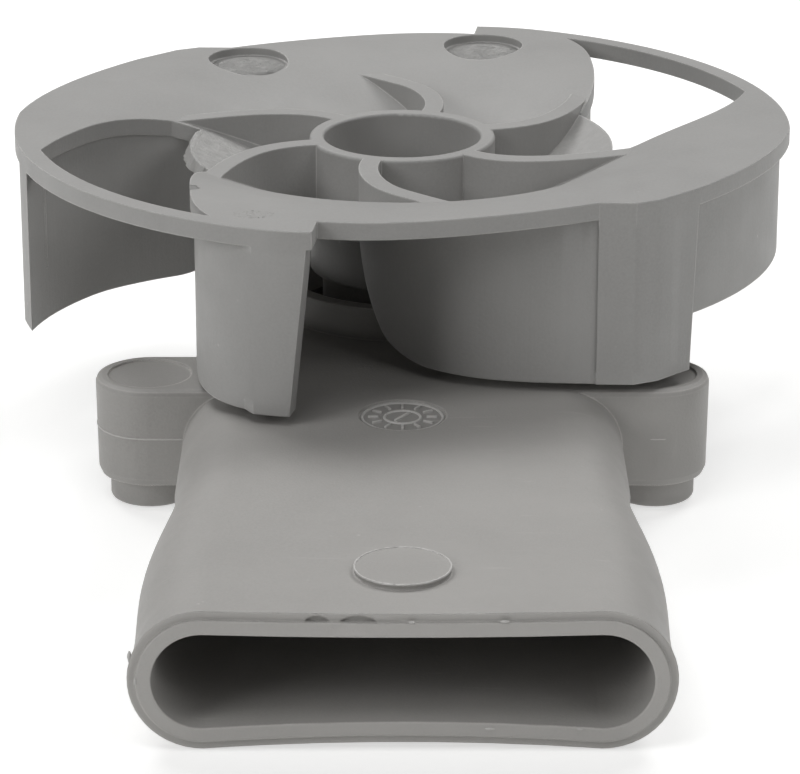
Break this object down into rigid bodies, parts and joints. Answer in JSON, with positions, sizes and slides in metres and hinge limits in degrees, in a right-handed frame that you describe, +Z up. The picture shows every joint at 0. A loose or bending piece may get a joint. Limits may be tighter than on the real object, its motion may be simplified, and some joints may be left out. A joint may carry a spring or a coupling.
{
  "type": "spray feed duct with rotor",
  "caption": "Flat oval water feed duct with a flared mouth, side lugs on locating spigots and a vaned spray rotor that spins on its closed round end.",
  "frame": {"origin": "midway between the two locating spigots, in the plane of the lug shoulders they stand on", "axes": "+Z up along the rotor's axis, +Y from the mouth towards the closed end, +X to the right seen from the mouth"},
  "size_m": [0.11, 0.1664, 0.0446],
  "materials": {
    "duct_plastic": "matte",
    "rotor_plastic": "matte"
  },
  "bodies": {
    "duct": {"duct_body": "duct_plastic"},
    "rotor": {"spray_rotor": "rotor_plastic"}
  },
  "joints": [
    {"name": "rotor_spin", "type": "hinge", "parent": "duct", "child": "rotor", "pos_m": [0, 0.0316, 0.0412], "axis": [0, 0, 1], "continuous": true}
  ]
}
